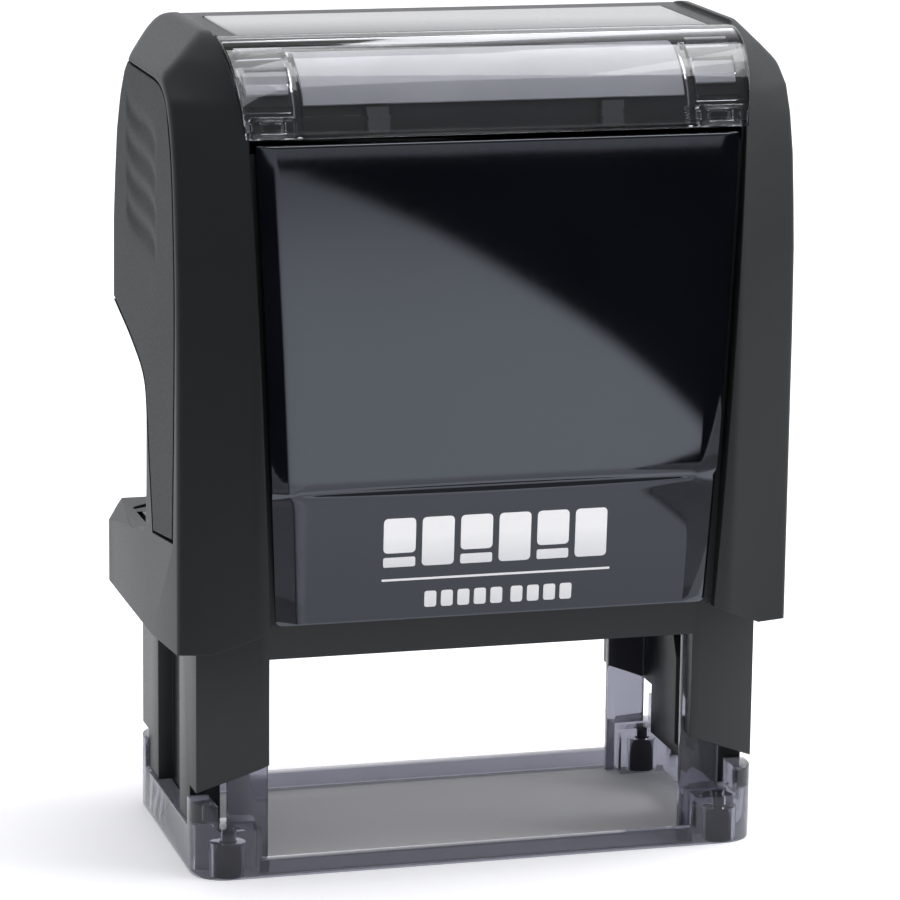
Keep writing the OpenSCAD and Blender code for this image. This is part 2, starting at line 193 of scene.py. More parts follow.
def rounded(points, radius, steps=6):
    """The outline with each corner turned into an arc of that radius."""
    out = []
    n = len(points)
    for i in range(n):
        p, q, r = (Vector(points[j % n]) for j in (i - 1, i, i + 1))
        before, after = (p - q).normalized(), (r - q).normalized()
        half = before.angle(after) / 2
        if half > radians(86):
            out.append(tuple(q))
            continue
        reach = min(radius / np.tan(half), (p - q).length * 0.49, (r - q).length * 0.49)
        a, b = q + before * reach, q + after * reach
        for k in range(steps + 1):
            t = k / steps
            out.append(tuple(a * (1 - t) ** 2 + q * 2 * t * (1 - t) + b * t * t))
    return out


def flowing(points, steps=6):
    """A smooth open curve through the points."""
    p = [np.array(q, float) for q in points]
    p = [2 * p[0] - p[1]] + p + [2 * p[-1] - p[-2]]
    out = []
    for i in range(1, len(p) - 2):
        for k in range(steps):
            t = k / steps
            out.append(tuple(0.5 * (2 * p[i] + (p[i + 1] - p[i - 1]) * t
                                    + (2 * p[i - 1] - 5 * p[i] + 4 * p[i + 1] - p[i + 2]) * t ** 2
                                    + (3 * p[i] - p[i - 1] - 3 * p[i + 1] + p[i + 2]) * t ** 3)))
    return out + [tuple(p[-2])]


def arc(centre, radius, start, end, steps=24):
    """Points of an arc, with angles in degrees."""
    return [(centre[0] + radius * cos(radians(start + (end - start) * k / steps)),
             centre[1] + radius * sin(radians(start + (end - start) * k / steps))) for k in range(steps + 1)]


def mirrored(points):
    return [(-x, y) for x, y in reversed(points)]


def sheet(name, rows, thick_rows, close=False):
    """A solid skin between a front grid and a back grid of points."""
    h, w = len(rows), len(rows[0])
    verts = [p for row in rows for p in row] + [p for row in thick_rows for p in row]
    off = h * w
    faces = []
    for i in range(h - 1):
        for j in range(w - 1):
            a, b, c, d = i * w + j, i * w + j + 1, (i + 1) * w + j + 1, (i + 1) * w + j
            faces.append((a, b, c, d))
            faces.append((off + a, off + d, off + c, off + b))
    rim = [j for j in range(w)] + [i * w + w - 1 for i in range(1, h)]
    rim += [(h - 1) * w + j for j in range(w - 2, -1, -1)] + [i * w for i in range(h - 2, 0, -1)]
    for k in range(len(rim)):
        a, b = rim[k], rim[(k + 1) % len(rim)]
        faces.append((a, off + a, off + b, b))
    return outward(new_piece(name, verts, faces))


def joined_loose(name, pieces):
    """One object from several, without a boolean."""
    mesh = bmesh.new()
    for piece in pieces:
        mesh.from_mesh(piece.data)
    data = bpy.data.meshes.new(name)
    mesh.to_mesh(data)
    mesh.free()
    for piece in pieces:
        old = piece.data
        bpy.data.objects.remove(piece)
        bpy.data.meshes.remove(old)
    out = bpy.data.objects.new(name, data)
    bpy.context.scene.collection.objects.link(out)
    return out


def turned(name, profile, x, y, steps=40):
    """A closed solid turned about an upright axis at x, y.

    The profile is a list of radius and height pairs that starts and ends on the axis.
    """
    verts, faces = [], []
    for r, z in profile[1:-1]:
        verts += [(x + r * cos(2 * pi * k / steps), y + r * sin(2 * pi * k / steps), z) for k in range(steps)]
    for i in range(len(profile) - 3):
        faces += [(i * steps + k, i * steps + (k + 1) % steps,
                   (i + 1) * steps + (k + 1) % steps, (i + 1) * steps + k)
                  for k in range(steps)]
    faces += [list(range(steps)), list(range(len(verts) - steps, len(verts)))]
    return outward(new_piece(name, verts, faces))


def fitted(piece, material, body, slot, *nodes):
    """Gives a finished piece its material and CAD body, and hides the nodes that it stands for; the record
    slot is not used.
    """
    piece.data.materials.clear()
    piece.data.materials.append(material)
    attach(piece, body)
    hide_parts(*nodes)
    return piece


def moulded_copy(node, material, body, slot, edge=0.2, segments=2):
    """The CAD node as a moulding with rounded edges."""
    piece = bpy.data.objects.new(node + "_moulding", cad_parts[node].data.copy())
    bpy.context.scene.collection.objects.link(piece)
    mesh = bmesh.new()
    mesh.from_mesh(piece.data)
    bmesh.ops.remove_doubles(mesh, verts=mesh.verts, dist=2e-6)
    bmesh.ops.dissolve_limit(mesh, angle_limit=radians(0.5), verts=mesh.verts, edges=mesh.edges)
    mesh.to_mesh(piece.data)
    mesh.free()
    if edge:
        softened(piece, edge, segments)
    return fitted(smooth(piece), material, body, slot, node)


# ---------- materials ----------


def bare_material(name):
    material = bpy.data.materials.new(name)
    material.use_nodes = True
    tree = material.node_tree
    return material, tree, tree.nodes["Principled BSDF"]


def noise(tree, size, detail=3.0, rough=0.6, stretch=None):
    """Noise whose grains are about that many millimetres across, fixed to the piece."""
    coords = tree.nodes.new("ShaderNodeTexCoord")
    texture = tree.nodes.new("ShaderNodeTexNoise")
    texture.inputs["Scale"].default_value = 1.0 / (size * MM)
    texture.inputs["Detail"].default_value = detail
    texture.inputs["Roughness"].default_value = rough
    if stretch:
        mapping = tree.nodes.new("ShaderNodeMapping")
        mapping.inputs["Scale"].default_value = stretch
        tree.links.new(coords.outputs["Object"], mapping.inputs["Vector"])
        tree.links.new(mapping.outputs["Vector"], texture.inputs["Vector"])
    else:
        tree.links.new(coords.outputs["Object"], texture.inputs["Vector"])
    return texture.outputs["Fac"]


def ramp(tree, value, stops):
    node = tree.nodes.new("ShaderNodeValToRGB")
    elements = node.color_ramp.elements
    while len(elements) < len(stops):
        elements.new(0.5)
    for element, (place, colour) in zip(elements, stops):
        element.position = place
        element.color = (*colour, 1.0)
    tree.links.new(value, node.inputs["Fac"])
    return node.outputs["Color"]


def spread(tree, value, low, high):
    node = tree.nodes.new("ShaderNodeMapRange")
    node.inputs["From Min"].default_value = 0.3
    node.inputs["From Max"].default_value = 0.7
    node.inputs["To Min"].default_value = low
    node.inputs["To Max"].default_value = high
    tree.links.new(value, node.inputs["Value"])
    return node.outputs["Result"]


def shade(colour, factor):
    return tuple(min(1.0, c * factor) for c in colour)


def surface(tree, bsdf, height, depth, edge):
    """Bumps from the height, over edges that the shader rounds by the edge radius."""
    bump = tree.nodes.new("ShaderNodeBump")
    bump.inputs["Distance"].default_value = depth * MM
    bump.inputs["Strength"].default_value = 1.0
    tree.links.new(height, bump.inputs["Height"])
    if edge:
        bevel = tree.nodes.new("ShaderNodeBevel")
        bevel.samples = 6
        bevel.inputs["Radius"].default_value = edge * MM
        tree.links.new(bevel.outputs["Normal"], bump.inputs["Normal"])
    tree.links.new(bump.outputs["Normal"], bsdf.inputs["Normal"])


def grained_plastic(name, colour, rough=0.5, grain=0.22, depth=0.01, edge=0.0, specular=0.4, mottle=0.12,
                    coat=0.0):
    """Moulded plastic with a fine spark-eroded grain."""
    material, tree, bsdf = bare_material(name)
    cloud = noise(tree, 9.0, 2.0)
    fine = noise(tree, grain, 2.0, 0.7)
    mix = tree.nodes.new("ShaderNodeMath")
    mix.operation = "MULTIPLY_ADD"
    mix.inputs[1].default_value = 0.5
    tree.links.new(cloud, mix.inputs[0])
    half = tree.nodes.new("ShaderNodeMath")
    half.operation = "MULTIPLY"
    half.inputs[1].default_value = 0.5
    tree.links.new(fine, half.inputs[0])
    tree.links.new(half.outputs[0], mix.inputs[2])
    cloudy = ramp(tree, mix.outputs[0], [(0.3, shade(colour, 1 - mottle)), (0.7, shade(colour, 1 + mottle))])
    tree.links.new(cloudy, bsdf.inputs["Base Color"])
    tree.links.new(spread(tree, fine, rough - 0.05, rough + 0.07), bsdf.inputs["Roughness"])
    bsdf.inputs["Specular IOR Level"].default_value = specular
    bsdf.inputs["Specular Tint"].default_value = (0.94, 0.99, 1.0, 1)
    bsdf.inputs["Coat Weight"].default_value = coat
    bsdf.inputs["Coat Roughness"].default_value = rough
    surface(tree, bsdf, fine, depth, edge)
    return material


def gloss_plastic(name, colour, rough=0.03):
    """Polished plastic with a lacquer-like skin and a faint ripple from the mould."""
    material, tree, bsdf = bare_material(name)
    cloud = noise(tree, 14.0, 1.0)
    dust = noise(tree, 0.5, 4.0, 0.8)
    paint = ramp(tree, cloud, [(0.3, shade(colour, 0.8)), (0.7, shade(colour, 1.2))])
    tree.links.new(paint, bsdf.inputs["Base Color"])
    tree.links.new(spread(tree, dust, rough, rough + 0.02), bsdf.inputs["Roughness"])
    bsdf.inputs["Specular IOR Level"].default_value = 1.0
    bsdf.inputs["Specular Tint"].default_value = (0.82, 0.90, 1.0, 1)
    surface(tree, bsdf, cloud, 0.004, 0.0)
    return material


def clear_plastic(name, tint, rough=0.02, ior=1.49, clarity=1.0):
    """Clear moulded plastic, tinted in the mass."""
    material, tree, bsdf = bare_material(name)
    cloud = noise(tree, 6.0, 1.0)
    paint = ramp(tree, cloud, [(0.3, shade(tint, 0.97)), (0.7, shade(tint, 1.03))])
    tree.links.new(paint, bsdf.inputs["Base Color"])
    tree.links.new(spread(tree, cloud, rough, rough + 0.02), bsdf.inputs["Roughness"])
    bsdf.inputs["Transmission Weight"].default_value = clarity
    bsdf.inputs["IOR"].default_value = ior
    surface(tree, bsdf, cloud, 0.006, 0.0)
    return material


def soft_rubber(name, colour, rough=0.75):
    material, tree, bsdf = bare_material(name)
    speck = noise(tree, 0.18, 3.0, 0.7)
    paint = ramp(tree, speck, [(0.3, shade(colour, 0.8)), (0.7, shade(colour, 1.25))])
    tree.links.new(paint, bsdf.inputs["Base Color"])
    tree.links.new(spread(tree, speck, rough - 0.08, rough + 0.08), bsdf.inputs["Roughness"])
    bsdf.inputs["Specular IOR Level"].default_value = 0.3
    surface(tree, bsdf, speck, 0.015, 0.0)
    return material


def drawn_steel(name, colour=(0.56, 0.57, 0.58)):
    material, tree, bsdf = bare_material(name)
    streak = noise(tree, 0.6, 4.0, 0.7, (1.0, 1.0, 0.15))
    paint = ramp(tree, streak, [(0.3, shade(colour, 0.85)), (0.7, shade(colour, 1.1))])
    tree.links.new(paint, bsdf.inputs["Base Color"])
    tree.links.new(spread(tree, streak, 0.22, 0.38), bsdf.inputs["Roughness"])
    bsdf.inputs["Metallic"].default_value = 1.0
    surface(tree, bsdf, streak, 0.004, 0.0)
    return material


def fibre(name, colour, size=0.12, depth=0.02, rough=0.9):
    """Paper, felt or foam: fibres or cells of that size."""
    material, tree, bsdf = bare_material(name)
    cells = noise(tree, size, 5.0, 0.75)
    paint = ramp(tree, cells, [(0.25, shade(colour, 0.86)), (0.75, shade(colour, 1.08))])
    tree.links.new(paint, bsdf.inputs["Base Color"])
    tree.links.new(spread(tree, cells, rough - 0.08, rough), bsdf.inputs["Roughness"])
    bsdf.inputs["Specular IOR Level"].default_value = 0.2
    surface(tree, bsdf, cells, depth, 0.0)
    return material


def hot_foil(name, dark, light, low, high):
    """Foil printed on the panel, fading from dark to light between two heights."""
    material, tree, bsdf = bare_material(name)
    coords = tree.nodes.new("ShaderNodeTexCoord")
    split = tree.nodes.new("ShaderNodeSeparateXYZ")
    tree.links.new(coords.outputs["Object"], split.inputs["Vector"])
    place = tree.nodes.new("ShaderNodeMapRange")
    place.inputs["From Min"].default_value = low * MM
    place.inputs["From Max"].default_value = high * MM
    tree.links.new(split.outputs["Z"], place.inputs["Value"])
    paint = ramp(tree, place.outputs["Result"], [(0.0, dark), (0.55, light)])
    tree.links.new(paint, bsdf.inputs["Base Color"])
    grain = noise(tree, 0.2, 2.0)
    tree.links.new(spread(tree, grain, 0.3, 0.42), bsdf.inputs["Roughness"])
    surface(tree, bsdf, grain, 0.002, 0.0)
    return material


# ---------- the cap's form ----------


def crown(z):
    """Distance of the crowned front from the middle plane at height z."""
    return HALF_D - (z - BULGE_Z) ** 2 / (2 * BULGE_R)


def soft_max(a, b, radius):
    """The larger of two distances, eased over a corner of about that radius."""
    h = np.maximum(radius - np.abs(a - b), 0) / radius
    return np.maximum(a, b) + h * h * radius / 4


def face_depth(z, top_y):
    """Distance of the front or back face from the middle plane, over the rounded shoulder too."""
    below = crown(np.minimum(z, SHOULDER_Z))
    up = np.clip((z - SHOULDER_Z) / (CAP_H - SHOULDER_Z), 0, 0.999)
    return np.where(z > SHOULDER_Z, top_y + (below - top_y) * np.sqrt(1 - up * up), below)


# Depth at which the side faces end, at the front and at the back, over the height
EDGE_Z = (12, 48, 56, 60, 64.5, 68, 70.4, 71.8, 73.7, 75.6, 76)
FRONT_EDGE_Y = (14.2, 14.2, 14.0, 13.6, 13.0, 12.0, 10.7, 8.6, 5.9, 1.6, 1.0)
BACK_EDGE_Y = (14.5, 14.5, 14.3, 13.6, 12.6, 10.9, 9.0, 6.9, 5.0, 3.4, 3.0)


def side_bevel(ax, y, z, edge_y, top_y, run):
    """The slanting face between the front or back and a side, narrow below and wide at the shoulder."""
    edge = np.interp(z, EDGE_Z, edge_y)
    rise = np.maximum(face_depth(z, top_y) - edge, 0.5)
    return (rise * (ax - HALF_W) + run * (y - edge)) / np.sqrt(rise ** 2 + run ** 2)


def cap_distance(x, y, z, corner):
    """Below nought inside the cap's outer form, above it outside."""
    ax, ay = np.abs(x), np.abs(y)
    d = ax - HALF_W
    d = soft_max(d, side_bevel(ax, -y, z, FRONT_EDGE_Y, -TOP_Y0, HALF_W - COLUMN_IN), corner)
    d = soft_max(d, side_bevel(ax, y, z, BACK_EDGE_Y, TOP_Y1, 3.5), corner)
    d = soft_max(d, (ax - HALF_W + z - (CAP_H - CHAMFER)) / sqrt(2), corner)
    front = ay - crown(np.minimum(z, SHOULDER_Z))
    start = np.where(y < 0, -TOP_Y0, TOP_Y1)
    wide = crown(SHOULDER_Z) - start
    tall = CAP_H - SHOULDER_Z
    out, up = np.maximum(ay - start, 0) / wide, np.maximum(z - SHOULDER_Z, 0) / tall
    shoulder = (np.sqrt(out ** 2 + up ** 2) - 1) * tall
    over = np.where((z > SHOULDER_Z) & (ay > start), shoulder, np.where(z > SHOULDER_Z, z - CAP_H, front))
    return soft_max(d, over, 0.25)


def cap_solid(name, inset, corner, x_stations, turns):
    """The cap's outer form as a solid that runs on below its lower edge, taken in by the inset."""
    middle_z, low_z = 46.0, 12.0
    angles = np.linspace(0, 2 * pi, turns, endpoint=False)
    x, angle = np.meshgrid(x_stations, angles, indexing="ij")
    near, away = np.zeros_like(x), np.full_like(x, 60.0)
    for _ in range(34):
        r = (near + away) / 2
        y, z = r * np.cos(angle), middle_z + r * np.sin(angle)
        d = np.maximum(cap_distance(x, y, z, corner), low_z - z) + inset
        near, away = np.where(d < 0, r, near), np.where(d < 0, away, r)
    y, z = near * np.cos(angle), middle_z + near * np.sin(angle)
    verts = np.stack([x, y, z], -1).reshape(-1, 3)
    n = len(x_stations)
    faces = [(i * turns + j, i * turns + (j + 1) % turns,
              (i + 1) * turns + (j + 1) % turns, (i + 1) * turns + j)
             for i in range(n - 1) for j in range(turns)]
    faces += [list(range(turns)), list(range(n * turns - 1, (n - 1) * turns - 1, -1))]
    return outward(new_piece(name, verts, faces))


def stations(limit, fine_from, coarse, fine):
    """Places along X, closer together near both ends."""
    inner = np.arange(0, fine_from, coarse)
    outer = np.arange(fine_from, limit - 0.3, fine)
    last = limit - np.array([0.3, 0.18, 0.09, 0.03, 0.005])
    side = np.concatenate([inner, outer, last])
    return np.concatenate([-side[:0:-1], side])


def waist_curve():
    """Edge of the side opening, from its foot on the band up to the cap's back."""
    return flowing([(0.6, 29.4), (-0.4, 30.4), (-0.75, 33), (-0.9, 37), (-0.85, 41.2), (0.7, 44), (5.8, 46.1),
                    (11.1, 47.6), (HALF_D + 1, 49.6)], 5)


def waist_outline():
    return waist_curve() + [(HALF_D + 1, BAND_Z), (6, BAND_Z + 0.1)]


def grip_outline(grow, groove=0.0):
    """Outline of a side grip, grown where it meets the shell, or set back by a groove along its front."""
    f = groove - grow
    front = flowing([(-12.2 + f, 31.5 - grow), (-13.0 + f, 45), (-13.2 + f, 54), (-12.6 + f, 61.5),
                     (-11.9 + f, 65.6), (-10.9 + f, 68.2)], 5)
    top = flowing([(-9.9 - grow, 69.7 + 0.4 * grow), (-8.6 - 0.6 * grow, 70.7 + 0.8 * grow),
                   (-7, 71.2 + grow), (-5, 71.4 + grow)], 4)
    back = [(8, 71.4 + grow), (SIDE_Y + 1.2, 66)]
    waist = [p for p in waist_curve()[::-1] if p[1] > 41.6 and p[0] < SIDE_Y]
    waist = [(p[0] - (0.0 if grow else 0.25), p[1] + (0.0 if grow else 0.25)) for p in waist]
    foot = [(-3.8 + grow, 30.4 - grow)]
    back.append((SIDE_Y + 1.2, waist[0][1] + 0.1))
    return front + top + back + waist + foot


def bevelled_plan(x, y_side, x_front, y):
    return [(x, -y_side), (x, y_side), (x_front, y), (-x_front, y),
            (-x, y_side), (-x, -y_side), (-x_front, -y), (x_front, -y)]


def window_zone(radius):
    """Everything in front of and above the label seat's bend."""
    y, z = WINDOW_C
    bend = arc(WINDOW_C, radius, 179.5, 90, 28)
    return [(y - 20, WINDOW_Z), (y - radius, WINDOW_Z)] + bend + [(y, z + 20), (y - 20, z + 20)]


def flared(piece):
    """Widens the ends of a piece of the window's bend towards the top, as the columns open there."""
    for v in piece.data.vertices:
        if abs(v.co.x) > 21 * MM:
            rise = min(max((v.co.z / MM - WINDOW_Z) / 8.4, 0), 1)
            v.co.x += (1 if v.co.x > 0 else -1) * 1.1 * MM * rise
    return piece


def cap_shell(material):
    shell = cap_solid("cap_shell_moulding", 0.0, 0.4, stations(HALF_W, 20.0, 1.25, 0.3), 340)
    corner = [(HALF_W - 0.02, HALF_D - 0.7), (HALF_W - 1.0, HALF_D - 0.02)]
    plan = [(HALF_W - 0.02, 3.0)] + corner + mirrored(corner) + [(-HALF_W + 0.02, 3.0)]
    band = prism("band", "z", plan, CAP_Z - 4, BAND_Z + 2)
    joined(shell, band)
    hood = cap_solid("hood", WALL, 0.5, stations(HALF_W - WALL, 20.0, 2.5, 0.8), 90)
    run = prism("run", "z", bevelled_plan(HALF_W - WALL, 12.7, 21.3, 15.4), 2, CAP_Z + 18)
    cut(shell, hood, run)
    # recesses of the front and back panels
    low, high = CAP_Z - 2, WINDOW_Z + 0.02
    recess = [(-COLUMN_IN_LOW - 0.15, low), (COLUMN_IN_LOW + 0.15, low),
              (COLUMN_IN + 0.75, high), (-COLUMN_IN - 0.75, high)]
    cut(shell, prism("recess", "y", recess, -30, -SKIN_Y))
    back = [(-COLUMN_IN, BAND_Z + 3), (COLUMN_IN, BAND_Z + 3),
            (COLUMN_IN, CAP_H - 6), (-COLUMN_IN, CAP_H - 6)]
    cut(shell, prism("back recess", "y", rounded(back, 1.2), SKIN_Y, 30))
    zone = window_zone(WINDOW_R - WINDOW_T - 0.75)
    cut(shell, flared(prism("window seat", "x", zone, -WINDOW_HALF - 0.1, WINDOW_HALF + 0.1)))
    # thin walls behind the panels, and the seat under the window
    skin = block("skin", (-COLUMN_IN - 0.4, -SKIN_Y, PANEL_Z), (COLUMN_IN + 0.4, -SKIN_Y + 1, WINDOW_Z - 0.1))
    back_skin = block("back skin", (-COLUMN_IN, SKIN_Y - 1, 47), (COLUMN_IN, SKIN_Y, CAP_H - 8))
    outer, inner = WINDOW_R - WINDOW_T - 0.75, WINDOW_R - WINDOW_T - 2.0
    bend = arc(WINDOW_C, outer, 186, 88, 28) + arc(WINDOW_C, inner, 88, 186, 28)
    seat = prism("seat", "x", bend, -WINDOW_HALF - 0.4, WINDOW_HALF + 0.4)
    ledge = block("ledge", (-COLUMN_IN - 0.5, -SKIN_Y, WINDOW_Z - 1.2),
                  (COLUMN_IN + 0.5, -13.8, WINDOW_Z - 0.1))
    joined(shell, skin, back_skin, seat, ledge)
    # floors of the ledges, close behind the legs
    for side in (-1, 1):
        floor = [(19.5, 13.5), (20.8, 13.5), (26.5, 12.1), (HALF_W - 1.0, 12.1),
                 (HALF_W - 1.0, 12.9), (21.5, 15.9), (19.5, 15.9)]
        joined(shell, prism("ledge floor", "z", [(side * x, y) for x, y in floor], 27.0, BAND_Z - 0.05))
    # the side openings, the slanting top of the band and the lower edges
    cut(shell, prism("waist", "x", waist_outline(), -40, 40))
    for side in (-1, 1):
        slopes = []
        for z in (29.7, 26.0):
            slopes.append([(side * (HALF_W + 1), z - 1.44), (side * (HALF_W - 2.2), z + 3.2),
                           (side * (HALF_W + 1), z + 3.2)])
        cut(shell, tapered("ledge slope", "y", slopes[0], 0.4, slopes[1], HALF_D + 1.2))
    slant = [(25.5, 21.6), (20.2, 23.9), (-20.2, 23.9), (-25.5, 21.6), (-25.5, 0), (25.5, 0)]
    rise = [(-30, 22.9), (-HALF_D, 21.8), (-3, CAP_Z), (-3, 10), (-30, 10)]
    cut(shell, prism("column feet", "x", rise, -40, 40))
    cut(shell, block("below", (-40, -30, 0), (40, 30, CAP_Z)),
        prism("slant", "y", slant, -30, -SKIN_Y + 4.5),
        block("open front", (-COLUMN_IN_LOW, -30, 0), (COLUMN_IN_LOW, 0, PANEL_Z)))
    for side in (-1, 1):
        reach = sorted((side * (HALF_W - 0.9), side * (HALF_W + 1)))
        cut(shell, prism("grip seat", "x", grip_outline(0.3), *reach))
    cut(shell, block("top seat", (-21.9, WINDOW_C[0] - 0.01, CAP_H - 0.75), (21.9, TOP_Y1 + 0.4, CAP_H + 1)),
        block("side strips", (-23.95, WINDOW_C[0] - 0.01, CAP_H - 0.4), (23.95, TOP_Y1 + 4, CAP_H + 1)),
        block("button hole", (-4.6, 12, 22.2), (4.6, 30, 26.4)),
        block("button guide", (-5.6, 14, 21.4), (5.6, 16.3, 27.2)))
    return fitted(smooth(shell, 30), material, "cap", "cap_plastic", "cap_shell")


# ---------- panels on the cap ----------


def panel_half(z):
    """Half width of the front panel at height z."""
    return 19.95 + (COLUMN_IN + 0.1 - 19.95) * (z - PANEL_Z) / (WINDOW_Z - PANEL_Z)


def front_depth(x, z):
    """Distance of the panel's face from the middle plane."""
    tip = np.clip(1 - (x / CREASE_HALF) ** 2, 0, 1)
    across = (z - CREASE_Z) / (0.18 + 0.1 * tip)
    crease = 0.24 * np.sqrt(tip) * np.exp(-across ** 2)
    below = 0.2 * (0.5 - 0.5 * np.tanh((z - CREASE_Z) / 0.4))
    return crown(z) - 0.3 - crease - below


def corner_pull(distance, radius):
    """How far an edge of that radius has fallen back at a distance in from the rim."""
    d = np.clip(distance, 0, radius)
    return radius - np.sqrt(np.maximum(radius ** 2 - (radius - d) ** 2, 0))


def side_roll(distance, z):
    """How far the panel's face rolls back towards its sides, more below the crease than above it."""
    reach = 1.7 + 0.6 * (0.5 - 0.5 * np.tanh((z - CREASE_Z + 0.3) / 0.5))
    t = np.clip(1 - distance / reach, 0, 1)
    return 0.15 * reach * t ** 2


def front_panel(material):
    low, high, corner = PANEL_Z + 0.05, WINDOW_Z - 0.45, 0.6
    heights = np.unique(np.concatenate([
        np.linspace(low, low + 0.7, 12), np.linspace(low + 0.7, CREASE_Z - 2, 24),
        np.linspace(CREASE_Z - 2, CREASE_Z + 2, 48), np.linspace(CREASE_Z + 2, high - 0.4, 54),
        np.linspace(high - 0.4, high, 9)]))
    end = np.concatenate([np.linspace(0, 0.25, 7), np.linspace(0.25, 2.9, 16)[1:]]) / 21.0
    shares = np.concatenate([end - 1, np.linspace(-1 + end[-1], 1 - end[-1], 100)[1:-1], (1 - end)[::-1]])
    front, back = [], []
    for z in heights:
        half = panel_half(z)
        up = z - low
        if up < corner:
            half -= corner - sqrt(max(corner ** 2 - (corner - up) ** 2, 0))
        row, hidden = [], []
        for s in shares:
            x = half * s
            edge = min(half - abs(x), up, high - z)
            y = -front_depth(x, z) + max(corner_pull(edge, 0.22), side_roll(half - abs(x), z))
            row.append((x, y, z))
            hidden.append((x, -SKIN_Y - 0.02, z))
        front.append(row)
        back.append(hidden)
    panel = sheet("front_panel_moulding", front, back)
    return fitted(smooth(panel, 50), material, "cap", "panel_gloss", "front_panel")


def on_panel(name, outline, lift=0.05):
    """A printed mark: an outline laid on the front panel, following its crown."""
    flat = prism(name, "y", outline, -1, 1)
    mesh = bmesh.new()
    mesh.from_mesh(flat.data)
    for v in mesh.verts:
        x, z = v.co.x / MM, v.co.z / MM
        v.co.y = (-front_depth(x, z) - (lift if v.co.y < 0 else -0.15)) * MM
    mesh.to_mesh(flat.data)
    mesh.free()
    return flat


def bar_outline(x0, x1, z0, z1, radius):
    return rounded([(x0, z0), (x1, z0), (x1, z1), (x0, z1)], radius, 5)


def front_marks(foil, fine_foil):
    """Plain bars in place of a printed name: a row of blocks, a rule, and a row of small blocks."""
    bold = []
    for i in range(6):
        left = -10.4 + 3.55 * i
        bold.append(on_panel("block", bar_outline(left, left + 2.95, 29.1 if i % 2 else 30.4, 33.6, 0.45)))
        if i % 2 == 0:
            bold.append(on_panel("foot bar", bar_outline(left, left + 2.95, 29.1, 30.0, 0.2)))
    fitted(smooth(joined_loose("name_blocks", bold)), foil, "cap", "card")
    small = [on_panel("rule", bar_outline(-10.5, 10.7, 27.8, 28.0, 0.08), 0.04)]
    for i in range(9):
        left = -6.5 + 1.53 * i + (0.35 if i > 4 else 0)
        small.append(on_panel("dash", bar_outline(left, left + 1.1, 25.2, 26.7, 0.25), 0.04))
    fitted(smooth(joined_loose("rule_and_dashes", small)), fine_foil, "cap", "card")


def back_panel(material):
    low, high, half = 50.3, CAP_H - 6.3, COLUMN_IN - 0.25
    heights = np.unique(np.concatenate([
        np.linspace(low, low + 1, 10), np.linspace(low + 1, high - 1, 30), np.linspace(high - 1, high, 10)]))
    shares = np.unique(np.concatenate([
        np.linspace(-1, -0.96, 9), np.linspace(-0.96, 0.96, 60), np.linspace(0.96, 1, 9)]))
    front, hidden = [], []
    for z in heights:
        up = min(z - low, high - z)
        width = half - (1.0 - sqrt(max(1.0 - (1.0 - up) ** 2, 0)) if up < 1.0 else 0)
        shoulder = crown(min(z, SHOULDER_Z)) - 0.3
        if z > SHOULDER_Z:
            drop = (z - SHOULDER_Z) / (CAP_H - SHOULDER_Z)
            shoulder = TOP_Y1 + (crown(SHOULDER_Z) - TOP_Y1) * sqrt(1 - drop ** 2) - 0.35
        front.append([(width * s, shoulder - corner_pull(min(width - abs(width * s), up), 0.4), z)
                      for s in shares])
        hidden.append([(width * s, SKIN_Y + 0.02 - (0.6 if z > 69 else 0), z) for s in shares])
    panel = sheet("back_panel_moulding", front, hidden)
    return fitted(smooth(panel, 50), material, "cap", "panel_gloss", "back_panel")


def finger_wave(y, z):
    """Depth of the four soft finger waves in a grip's face."""
    depth = 0.0
    along = (1.2 - y) / 6.6
    fade = max(1 - along ** 2, 0.0) ** 0.7
    for i in range(4):
        line = 66.3 - 3.1 * i - 0.75 * along ** 3 - 0.25 * along
        across = (z - line) / (0.62 if z < line else 1.15)
        depth += 0.5 * fade * np.exp(-across ** 2)
    return depth


def side_grip(side, material):
    """A grip plate with four soft finger waves."""
    ys, zs = np.arange(-14.5, 15.9, 0.32), np.arange(28.5, 73.5, 0.26)
    face = [[(side * (HALF_W - 0.03 - finger_wave(y, z)), y, z) for y in ys] for z in zs]
    back = [[(side * (HALF_W - 0.85), y, z) for y in ys] for z in zs]
    name = "left" if side < 0 else "right"
    plate = sheet(name + "_side_grip_moulding", face, back)
    bounds = sorted((side * (HALF_W - 3), side * (HALF_W + 1)))
    combined(plate, [prism("grip edge", "x", grip_outline(0, 0.35), *bounds),
                     cap_solid("grip limit", 0.03, 0.3, stations(HALF_W, 20.0, 4.0, 0.3), 200)], "INTERSECT")
    softened(plate, 0.18, 2, 50)
    return fitted(smooth(plate, 40), material, "cap", "grip_plastic", name + "_side_grip")


def bent_strip(name, x0, x1, r_out, r_in, start, end, steps=40, across=2):
    """A piece of the window's bend between two radii and two angles, in degrees from the horizontal."""
    angles = [radians(start + (end - start) * k / steps) for k in range(steps + 1)]
    xs = np.linspace(x0, x1, across)
    y, z = WINDOW_C
    outer = [[(x, y - r_out * cos(a), z + r_out * sin(a)) for x in xs] for a in angles]
    inner = [[(x, y - r_in * cos(a), z + r_in * sin(a)) for x in xs] for a in angles]
    return sheet(name, outer, inner)


